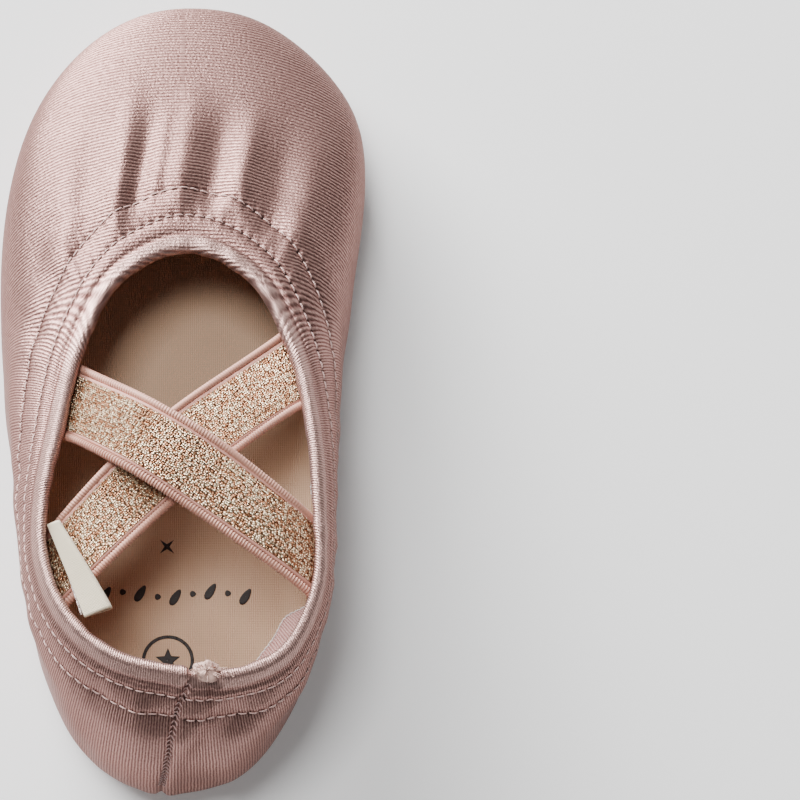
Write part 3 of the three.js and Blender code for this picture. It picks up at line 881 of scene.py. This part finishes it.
# profile is (inset, share, z) from the middle of one side round the edge to the other
def addPlate(soup, edge, profile, fill):
    turn = ringOf(240)
    radius = edge(turn)
    inset, share, z = np.array(profile).T
    spread = (radius[:, None] - inset[None, :]) * share
    points = atTurn(turn[:, None], spread, np.broadcast_to(z, spread.shape))
    points[..., 2] += fill(points[..., 0], points[..., 1], radius[:, None] - spread) * (z > z.mean())
    first, laps, cols = soup["count"], len(points) - 1, points.shape[1]
    addGrid(soup, points[:-1], ring=True, uv=points[..., :2].copy())
    for column in (0, cols - 1):
        loop = [first + i * cols + column for i in range(laps)]
        soup["faces"].append(loop[::-1] if column == 0 else loop)
        soup["uv"].append(points[:-1, column, :2])


def rings(inset, z):
    return [(inset + 6 * k, 1.0, z) for k in np.linspace(0, 1, 5)] + [
        (inset + 6, share, z) for share in np.linspace(1, 0.004, 34)[1:]
    ]


def flat(x, y, inset):
    return 0 * x


def plateProfile(bottom, top, r):
    edge = [(r, 1, bottom), (r * 0.3, 1, bottom + r * 0.3), (0, 1, bottom + r)]
    edge += [(0, 1, top - r), (r * 0.3, 1, top - r * 0.3), (r, 1, top)]
    return rings(r + 0.3, bottom)[::-1] + edge + rings(r + 0.3, top)


def sockRise(x, y, inset):
    heelCup = 0.9 * (1 - ease(0.5, 7, inset))
    wave = 0.16 * np.sin(x * 0.19 + 1.2 * np.sin(y * 0.07)) + 0.12 * np.sin(y * 0.16 + x * 0.05)
    return heelCup + wave * ease(1, 6, inset)


def makeSole():
    look = soleLook
    foamEdge = fitRing(*outermost(pointsOf("midsole_foam")))
    foamLow, foamHigh = boxOf("midsole_foam")
    foam = newSoup()
    addPlate(foam, foamEdge, plateProfile(foamLow[2], foamHigh[2], 0.8), flat)
    piece = makePiece("foamMidsole", foam, foamMaterial, "slipper", ["midsole_foam"])
    sockEdge = fitRing(*outermost(pointsOf("insole_sock")))
    sock = newSoup()
    profile = plateProfile(floorOfSock, topOfSock, 0.3)
    addPlate(sock, lambda t: sockEdge(t) + 1.7, profile, sockRise)
    piece = makePiece("cottonSock", sock, sockMaterial, "slipper", ["insole_sock"])
    soleLow, soleHigh = boxOf("outsole")
    g, w, d = look["grooveIn"], look["grooveWide"] / 2, look["grooveDeep"]
    below = rings(g + w + 0.5, soleLow[2])[::-1]
    groove = [(w + 0.15, 0), (w * 0.8, d * 0.75), (0, d), (-w * 0.8, d * 0.75), (-w - 0.15, 0)]
    groove = [(g + aside, 1.0, deep) for aside, deep in groove]
    rest = plateProfile(soleLow[2], soleHigh[2], look["edgeRound"])
    rest = [p for p in rest if (p[0] < g - w - 0.4 and p[1] == 1) or p[2] > 0.9]
    outsole = newSoup()
    addPlate(outsole, outsoleRadius, below + groove + rest, flat)
    makePiece("suedeOutsole", outsole, suedeMaterial, "slipper", ["outsole"])
    turn = ringOf(1440)
    path = atTurn(turn, outsoleRadius(turn) - g, np.full_like(turn, 0.45))
    thread = newSoup()
    addStitches(thread, path, look["stitch"], 0.3, 0.35)
    makePiece("outsoleStitches", thread, paleThread, "slipper", ["outsole_thread"])


# each stitch's ends dip into the cloth; up is one direction or one for each point
def addStitches(soup, path, pitch, radius, dip, up=(0, 0, 1), share=0.84, skip=0.0, wander=0.0, seed=1):
    chance = random.Random(seed)
    step = tripAlong(path)
    count = round((step[-1] - 2 * skip) / pitch)
    size = (step[-1] - 2 * skip) / count
    ups = np.broadcast_to(np.array(up, float), path.shape)
    for i in range(count):
        long = size * (share + chance.uniform(-wander, wander))
        s = skip + (i + 0.5) * size + np.linspace(-0.5, 0.5, 7) * long
        line = np.stack([np.interp(s, step, path[:, c]) for c in range(3)], axis=-1)
        above = unit(np.stack([np.interp(s, step, ups[:, c]) for c in range(3)], axis=-1))
        k = np.linspace(-1, 1, 7)
        line = line - above * (dip * k**4)[:, None]
        thick = radius * np.array([0.75, 0.95, 1, 1, 1, 0.95, 0.75])
        addTube(soup, line, thick, 6, above)


makeSole()
print("sole made")


threadLook = {"radius": 0.17, "sink": -0.02, "dip": 0.3, "seamPitch": 1.5, "zigzag": 1.7}


def satinNormal(turn, distance):
    a = satinPoint(turn + 0.003, distance) - satinPoint(turn - 0.003, distance)
    b = satinPoint(turn, distance + 0.15) - satinPoint(turn, distance - 0.15)
    normal = unit(np.cross(a, b))
    outward = np.stack([np.cos(turn), np.sin(turn), np.full_like(turn, 0.6)], axis=-1)
    return normal * np.sign(np.sum(normal * outward, axis=-1, keepdims=True))


def makeRows():
    look = threadLook
    inner = ("innerStitches", "casing_thread_inner", rowOne)
    outer = ("outerStitches", "casing_thread_outer", rowTwo)
    for name, node, row in (inner, outer):
        turn = ringOf(2880)
        distance = row(turn)
        path = satinPoint(turn, distance, look["radius"] + look["sink"])
        normal = satinNormal(turn, distance)
        soup = newSoup()
        fit = (0.8, rows["skip"], 0.03, 4)  # share of the pitch, gap at the seam, wander, seed
        addStitches(soup, path, rows["pitch"], look["radius"], look["dip"], normal, *fit)
        makePiece(name, soup, stitchMaterial, "slipper", [node])


def makeSeamBraid():
    soup = newSoup()
    count = 27
    for i in range(count):
        d = mix(1.2, 29.5, i / (count - 1))
        middleTurn = float(seamTurn(d))
        for side in (-1, 1):
            width = 0.62 / float(rimRadius(middleTurn))
            k = np.linspace(0, 1, 6)
            turn = middleTurn + side * width * (0.08 + 0.92 * k)
            distance = d + 0.75 * k
            lift = 0.1 - 0.3 * k**4 + 0.3 * (1 - k) ** 2
            path = satinPoint(turn, distance, lift)
            addTube(soup, path, 0.13 * np.array([0.9, 1, 1, 1, 0.9, 0.7]), 6)
    makePiece("heelSeamBraid", soup, seamMaterial, "slipper", ["heel_seam_thread"])


def makeOverlock():
    turn = ringOf(2400)
    lap = np.interp(turn, ringTurns, arcSide)
    phase = lap / threadLook["zigzag"]
    swing = np.abs((phase % 1) * 2 - 1) * 2 - 1
    distance = (12.3 + 0.95 * swing)[:, None]
    inward = np.minimum(softness(turn, distance), 0.25)
    depth = mix(2.75, 1.95, ease(0.1, 0.9, swing))[:, None]
    inward = inward - hang(turn, distance)
    path = wallAt(turn, distance, depth - inward)[:, 0]
    soup = newSoup()
    closedTube(soup, path[:-1], 0.15, 5)
    low = np.full((len(turn), 1), 12.25)
    edge = wallAt(turn, low, 2.62 - np.minimum(softness(turn, low), 0.25) + hang(turn, low))[:, 0]
    closedTube(soup, edge[:-1:3], 0.16, 5)
    makePiece("overlockThread", soup, paleThread, "slipper", ["facing_overlock_thread"])


makeRows()
makeSeamBraid()
makeOverlock()
print("threads made")


strapLook = {
    "width": 15.0,
    "cord": 0.78,
    "web": 0.8,
    "tail": 8.0,
    "depth": 3.9,
    "crest": 40.8,
    "under": 2.7,
    "whip": 0.62,
}
# Rim angles of the two edges of each sewn end, front and rear, and how far down it leaves the wall.
strapEnds = {
    "over_strap": (((134.7, 168.7), 2.0), ((-24.3, -48.7), 2.0)),
    "under_strap": (((210.2, 233.1), 6.0), ((53.6, 24.7), 2.0)),
}


def sewnPoint(end, across, distance, depth):
    (front, rear), _ = end
    turn = math.radians(mix(rear, front, (across + 1) / 2))
    return wallAt(np.array([turn]), np.array([[distance]]), depth)[0, 0]


def splineThrough(points, count):
    p = np.array(points)
    p = np.vstack([2 * p[0] - p[1], p, 2 * p[-1] - p[-2]])
    out = []
    spans = len(p) - 3
    for t in np.linspace(0, spans, count + 1):
        i = min(int(t), spans - 1)
        k = t - i
        a, b, c, d = p[i : i + 4]
        ab, bc, cd = (math.sqrt(np.linalg.norm(v)) for v in (b - a, c - b, d - c))
        m1 = ((b - a) / ab - (c - a) / (ab + bc) + (c - b) / bc) * bc
        m2 = ((c - b) / bc - (d - b) / (bc + cd) + (d - c) / cd) * bc
        out.append(
            b * (2 * k**3 - 3 * k * k + 1)
            + m1 * (k**3 - 2 * k * k + k)
            + c * (3 * k * k - 2 * k**3)
            + m2 * (k**3 - k * k)
        )
    return np.array(out)


def strapLine(strap, across, count=120):
    look = strapLook
    left, right = strapEnds[strap]
    crest = look["crest"] - (look["under"] if strap == "under_strap" else 0)
    a = sewnPoint(left, 0, left[1], look["depth"])
    b = sewnPoint(right, 0, right[1], look["depth"])
    chord = (b - a) * [1, 1, 0]
    flatWay = chord / np.linalg.norm(b - a) * look["width"] / 2
    forward = unit(np.array([-(b - a)[1], (b - a)[0], 0]))
    crossing = np.array([heart[0] - 1.8, heart[1] - 1, crest]) + forward * across * look["width"] / 2
    tail = look["tail"]
    return splineThrough(
        [
            sewnPoint(left, across, left[1] + tail, look["depth"]),
            sewnPoint(left, across, left[1], look["depth"]),
            crossing - flatWay,
            crossing + flatWay,
            sewnPoint(right, across, right[1], look["depth"]),
            sewnPoint(right, across, right[1] + tail, look["depth"]),
        ],
        count,
    )


# across and up, round a thin band that bows a little and has ribs along its edges
def webSection():
    top = np.linspace(-1, 1, 33)
    bow = 0.24 * (1 - top**2) + 0.07 * np.cos(top * 24)
    across = np.r_[top, top[::-4]]
    up = np.r_[0.5 * 0.8 + bow, np.full(len(top[::-4]), -0.4)]
    return across, up


def makeStrap(strap):
    look = strapLook
    webHalf = 1 - (2 * 0.7 + 0.3) / (look["width"] / 2)
    count = 240
    across, up = webSection()
    levels = np.linspace(-1, 1, 9)
    lines = np.stack([strapLine(strap, k * webHalf * 1.03, count) for k in levels], axis=1)
    step = tripAlong(lines[:, 4])
    along = unit(np.gradient(lines[:, 4], axis=0))
    sideways = unit(lines[:, -1] - lines[:, 0])
    normal = unit(np.cross(along, sideways) * -1)
    normal *= np.sign(normal[count // 2, 2])
    base = np.empty((count + 1, len(across), 3))
    for i in range(count + 1):
        for c in range(3):
            base[i, :, c] = np.interp(across, levels, lines[i, :, c])
    chance = np.random.default_rng(7 if strap == "over_strap" else 8)
    grain = chance.normal(0, 0.035, base.shape[:2]) * (up > 0)
    web = base + normal[:, None] * (up[None, :, None] + grain[..., None])
    half = webHalf * look["width"] / 2
    uvAcross = across * half
    uv = paired(np.r_[uvAcross, uvAcross[0]][None, :], step[:, None])
    camel = "overStrap" if strap == "over_strap" else "underStrap"
    crossing = np.argmin(np.abs(step - step[-1] / 2))
    halves = (("Left", slice(0, crossing + 1), 0), ("Right", slice(crossing, count + 1), count))
    nodes = {"web": strap + "_web", "front": strap + "_cord_front", "rear": strap + "_cord_rear"}
    for side, part, endIndex in halves:
        def finish(name, soup, material, node):
            piece = makePiece(camel + name + side, soup, material, None, [node])
            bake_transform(piece)

        soup = newSoup()
        addGrid(soup, web[part], tube=True, uv=uv[part], caps=True)
        finish("Web", soup, glitterMaterial, nodes["web"])
        for name, sign in (("front", 1), ("rear", -1)):
            edge = strapLine(strap, sign * (1 - 0.7 / (look["width"] / 2)), count * 6)
            place = slice(part.start * 6, (part.stop - 1) * 6 + 1)
            away = tripAlong(edge)
            whip = (0.11 if sign < 0 else 0.03) * np.cos(away / look["whip"] * tau)
            soup = newSoup()
            path = edge[place]
            addTube(soup, path, (look["cord"] + whip)[place], 12)
            finish("Cord" + name.title(), soup, cordMaterial, nodes[name])


def makeTacks():
    soup = newSoup()
    for left, right in strapEnds.values():
        for end in (left, right):
            for row in (1.5, 3.2):
                spots = [sewnPoint(end, k, end[1] + 8 - row, 4.85) for k in np.linspace(-0.95, 0.95, 40)]
                path = np.array(spots)
                inward = unit(np.r_[heart, 30.0] - path) * [1, 1, 0]
                addStitches(soup, path, 1.9, 0.2, 0.35, inward)
    nodes = [s + "_tack_" + side for s in strapEnds for side in ("left", "right")]
    makePiece("strapTacks", soup, paleThread, "slipper", nodes)


makeStrap("over_strap")
makeStrap("under_strap")
makeTacks()
print("straps made")


labelLook = {"length": 20.0, "depth": 6.4, "thick": 0.35, "gap": 1.3, "lean": 0.22, "turns": (207, 241)}


def labelFrame():
    ends = []
    for degrees in labelLook["turns"]:
        t = math.radians(degrees)
        radius = float(rimRadius(t)) - 1.45 - 0.3 - 0.25
        ends.append(atTurn(t, radius, float(rimHeight(t)) - 0.4))
    centre = (ends[0] + ends[1]) / 2
    along = unit((ends[1] - ends[0]) * [1, 1, 0])
    inward = np.array([-along[1], along[0], 0])
    return centre, along, inward


def makeLabel():
    look = labelLook
    centre, along, inward = labelFrame()
    reach = inward * math.cos(look["lean"]) + np.array([0, 0, math.sin(look["lean"])])
    lift = np.array([0, 0, math.cos(look["lean"])]) - inward * math.sin(look["lean"])
    half = look["gap"] / 2
    tip = look["depth"] - half - look["thick"]
    a = np.linspace(-math.pi / 2, math.pi / 2, 11)
    run = np.linspace(0.55, tip, 12, endpoint=False)
    rise = mix(0.16, half, ease(0.5, tip, run))
    mid = np.concatenate(
        [
            np.stack([run, -rise], axis=-1),
            np.stack([tip + half * np.cos(a), half * np.sin(a)], axis=-1),
            np.stack([run[::-1], rise[::-1]], axis=-1),
        ]
    )
    ahead = unit(np.gradient(mid, axis=0))
    side = np.stack([ahead[:, 1], -ahead[:, 0]], axis=-1)
    ring = np.concatenate([mid + side * look["thick"] / 2, (mid - side * look["thick"] / 2)[::-1]])
    s = np.linspace(-0.5, 0.5, 41)
    bend = 0.35 * np.cos(s * math.pi * 1.3) - 0.25
    flare = 1 + 0.35 * ease(0.1, 0.5, s)
    tuck = 0.5 - s[:, None]  # the front end slips under the rim
    x = ring[None, :, 0] * (1 - 0.55 * tuck**1.2) - 1.1 * tuck
    z = ring[None, :, 1] * flare[:, None] + bend[:, None] * (ring[None, :, 0] / look["depth"]) ** 1.5
    z = z - 0.4 * tuck
    points = centre + s[:, None, None] * look["length"] * along + x[..., None] * reach + z[..., None] * lift
    trip = tripAlong(ring)
    uv = paired(np.r_[trip, trip[-1] + 0.35][None, :], (s * look["length"])[:, None])
    soup = newSoup()
    addGrid(soup, points, tube=True, uv=uv)
    count = len(ring) // 2
    for end, turned in ((0, False), (40, True)):
        for i in range(count - 1):
            quad = [end * len(ring) + k for k in (i, i + 1, len(ring) - 2 - i, len(ring) - 1 - i)]
            soup["faces"].append(quad[::-1] if turned else quad)
            soup["uv"].append(np.zeros((4, 2)))
    piece = makePiece("ribbonLabel", soup, ribbonMaterial, "label", ["label_loop"])
    k = np.linspace(-0.46, 0.46, 60)[:, None]
    line = centre + k * look["length"] * along + inward * 0.1 - [0, 0, 0.15]
    thread = newSoup()
    addStitches(thread, line, 1.5, 0.18, 0.2, (0, 0, 1))
    makePiece("labelStitches", thread, paleThread, "slipper", ["label_thread"])


# gathered end of the rim's cord inside the heel, with short loose fibres
def makeTuft():
    low, high = boxOf("topline_cord_tuck")
    centre = (low + high) / 2 + [0.6, -2.0, 0.6]
    size = (high - low) / 2 + [0.3, 0.9, -0.2]
    chance = random.Random(12)
    soup = newSoup()
    a = np.linspace(0, tau, 33)[:-1]
    b = np.linspace(-0.47, 0.47, 17) * math.pi
    bumps = 1 + 0.1 * np.cos(2 * a[None, :] + 3 * b[:, None] + 1)
    bumps = bumps + 0.13 * np.sin(3 * a[None, :] - 4 * b[:, None])
    bumps = bumps + 0.06 * np.cos(7 * a[None, :] + 5 * b[:, None] + np.sin(3 * a)[None, :])
    shape = np.stack(
        [
            centre[0] + size[0] * bumps * np.cos(b)[:, None] * np.cos(a)[None, :],
            centre[1] + size[1] * bumps * np.cos(b)[:, None] * np.sin(a)[None, :],
            centre[2] + size[2] * bumps * np.sin(b)[:, None] * np.ones_like(a)[None, :],
        ],
        axis=-1,
    )
    addGrid(soup, shape, tube=True, caps=True)
    for _ in range(44):
        angle = chance.uniform(0, tau)
        out = np.array([math.cos(angle) * 0.9, math.sin(angle) * 0.5, chance.uniform(0.15, 1.0)])
        start = centre + out * size * 0.8
        length = chance.uniform(0.8, 1.9)
        k = np.linspace(0, 1, 6)[:, None]
        curl = np.array([chance.uniform(-1, 1), chance.uniform(-1, 1), chance.uniform(-0.6, 0.2)])
        path = start + unit(out) * k * length + curl * k**2 * 0.7
        path[:, 2] = np.minimum(path[:, 2], 41.2)
        addTube(soup, path, 0.1 * (1 - 0.6 * k[:, 0]), 5, (0.3, 0.2, 1))
    k = np.linspace(0, 1, 16)[:, None]
    path = centre + [1.2, 0.2, 0.7] + k * [4.0, -1.0, -0.2] + np.sin(k * 4) * [0.2, 0.5, 0.3]
    addTube(soup, path, 0.13, 6, (0.2, 0.1, 1))
    makePiece("cordTuft", soup, tuftMaterial, "slipper", ["topline_cord_tuck"])


marksLook = {"lift": 0.06, "thick": 0.05}


# a flat printed shape on the sock; outline goes anticlockwise round centre
def addMark(soup, outline, centre):
    outline = np.array(outline)
    count = len(outline)
    steps = np.linspace(1, 0.02, 4)[:, None, None]
    flatShape = (np.array(centre) + (outline - centre) * steps).reshape(-1, 2)
    edge = fitRing(*outermost(pointsOf("insole_sock")))
    d = flatShape - heart
    inset = edge(np.arctan2(d[:, 1], d[:, 0])) - np.hypot(d[:, 0], d[:, 1])
    z = topOfSock + sockRise(flatShape[:, 0], flatShape[:, 1], inset) + marksLook["lift"]
    points = np.concatenate([flatShape, z[:, None]], axis=1).reshape(4, count, 3)
    skirt = points[:1] - [0, 0, marksLook["lift"] + 0.05]
    addGrid(soup, np.concatenate([skirt, points]), tube=True)
    soup["faces"].append([soup["count"] - count + i for i in range(count)])
    soup["uv"].append(np.zeros((count, 2)))


def addRingMark(soup, centre, radius, width):
    for part in range(16):
        arc = np.linspace(part, part + 1, 5) / 16 * tau
        sides = ((radius + width, arc), (radius, arc[::-1]))
        around = [(r, t) for r, side in sides for t in side]
        outline = [(centre[0] + r * math.cos(t), centre[1] + r * math.sin(t)) for r, t in around]
        addMark(soup, outline, np.mean(outline, axis=0))


def starOutline(centre, points, outer, inner, turn=0.0):
    a = np.arange(2 * points) / (2 * points) * tau + turn
    r = np.where(np.arange(2 * points) % 2 == 0, outer, inner)
    return np.stack([centre[0] + r * np.cos(a), centre[1] + r * np.sin(a)], axis=-1)


def leafOutline(centre, long, wide, turn):
    t = np.linspace(0, tau, 17)[:-1]
    x = long * np.cos(t)
    y = wide * np.sin(t) * (1 - 0.25 * np.cos(t))
    c, s = math.cos(turn), math.sin(turn)
    return np.stack([centre[0] + c * x - s * y, centre[1] + s * x + c * y], axis=-1)


def makeMarks():
    soup = newSoup()
    addMark(soup, starOutline((-3.2, -31.1), 4, 2.0, 0.5, math.pi / 4), (-3.2, -31.1))
    for i in range(9):
        spot = (-15.5 + i * 3.5, -41.0 + 0.6 * math.sin(i * 1.3))
        if i % 2 == 0:
            addMark(soup, leafOutline(spot, 1.9, 0.8, math.radians(58)), spot)
        else:
            addMark(soup, leafOutline(spot, 0.62, 0.62, 0), spot)
    addRingMark(soup, (-3.0, -54.5), 4.5, 0.7)
    addMark(soup, starOutline((-3.0, -54.5), 5, 2.6, 1.15, math.pi / 2), (-3.0, -54.5))
    makePiece("sockPrint", soup, printMaterial, "slipper")


makeLabel()
makeTuft()
makeMarks()
print("label, tuft and marks made")


studioLook = {
    "key": ((-0.85, 1.3, 0.55), (1.4, 0.9), 128),  # place and size in metres, power in watts
    "top": ((-0.38, 0.25, 1.85), (0.7, 0.7), 30),
    "world": 0.12,
    "floorGlow": 0.14,
}
cameraLook = {"lens": 200, "distance": 893.0, "elevation": 74.0, "aim": (0.0, -2.7, 15.0), "centre": 183}


def makeCamera():
    look = cameraLook
    data = bpy.data.cameras.new("camera")
    data.lens = look["lens"]
    data.sensor_width = 36
    data.clip_start = 0.01
    data.clip_end = 50
    camera = bpy.data.objects.new("camera", data)
    bpy.context.scene.collection.objects.link(camera)
    e = math.radians(look["elevation"])
    back = Vector((0, -math.cos(e), math.sin(e)))
    up = Vector((0, math.sin(e), math.cos(e)))
    right = Vector((1, 0, 0))
    aside = math.atan((400 - look["centre"]) / 800 * 36 / look["lens"])
    forward = -back * math.cos(aside) + right * math.sin(aside)
    right = right * math.cos(aside) + back * math.sin(aside)
    place = Vector(look["aim"]) * mm + back * look["distance"] * mm
    turned = Matrix((right, up, -forward)).transposed().to_4x4()
    camera.matrix_world = Matrix.Translation(place) @ turned
    bpy.context.scene.camera = camera


def makeArea(name, place, size, power):
    data = bpy.data.lights.new(name, "AREA")
    data.shape = "RECTANGLE"
    data.size, data.size_y = size
    data.energy = power
    light = bpy.data.objects.new(name, data)
    bpy.context.scene.collection.objects.link(light)
    light.location = place
    light.rotation_euler = (-Vector(place)).to_track_quat("-Z", "Y").to_euler()


def makeFloor():
    k = np.linspace(-3000, 3000, 13)
    x, y = np.meshgrid(k, k, indexing="ij")
    soup = newSoup()
    addGrid(soup, np.stack([x, y, np.zeros_like(x)], axis=-1), uv=np.stack([x, y], axis=-1))
    material, tree, shader = newMaterial("floorPaper", (0.9, 0.9, 0.9, 1), 0.9)
    bumpFrom(tree, shader, objectNoise(tree, 300.0), 0.05, 0.0002)
    shader.inputs["Emission Color"].default_value = (1, 1, 1, 1)
    shader.inputs["Emission Strength"].default_value = studioLook["floorGlow"]
    floor = makePiece("floor", soup, material, None)


makeCamera()
makeFloor()
makeArea("keySoftbox", *studioLook["key"])
makeArea("topSoftbox", *studioLook["top"])
world = bpy.data.worlds.new("studio")
world.use_nodes = True
world.node_tree.nodes["Background"].inputs[0].default_value = (1, 1, 1, 1)
world.node_tree.nodes["Background"].inputs[1].default_value = studioLook["world"]
bpy.context.scene.world = world
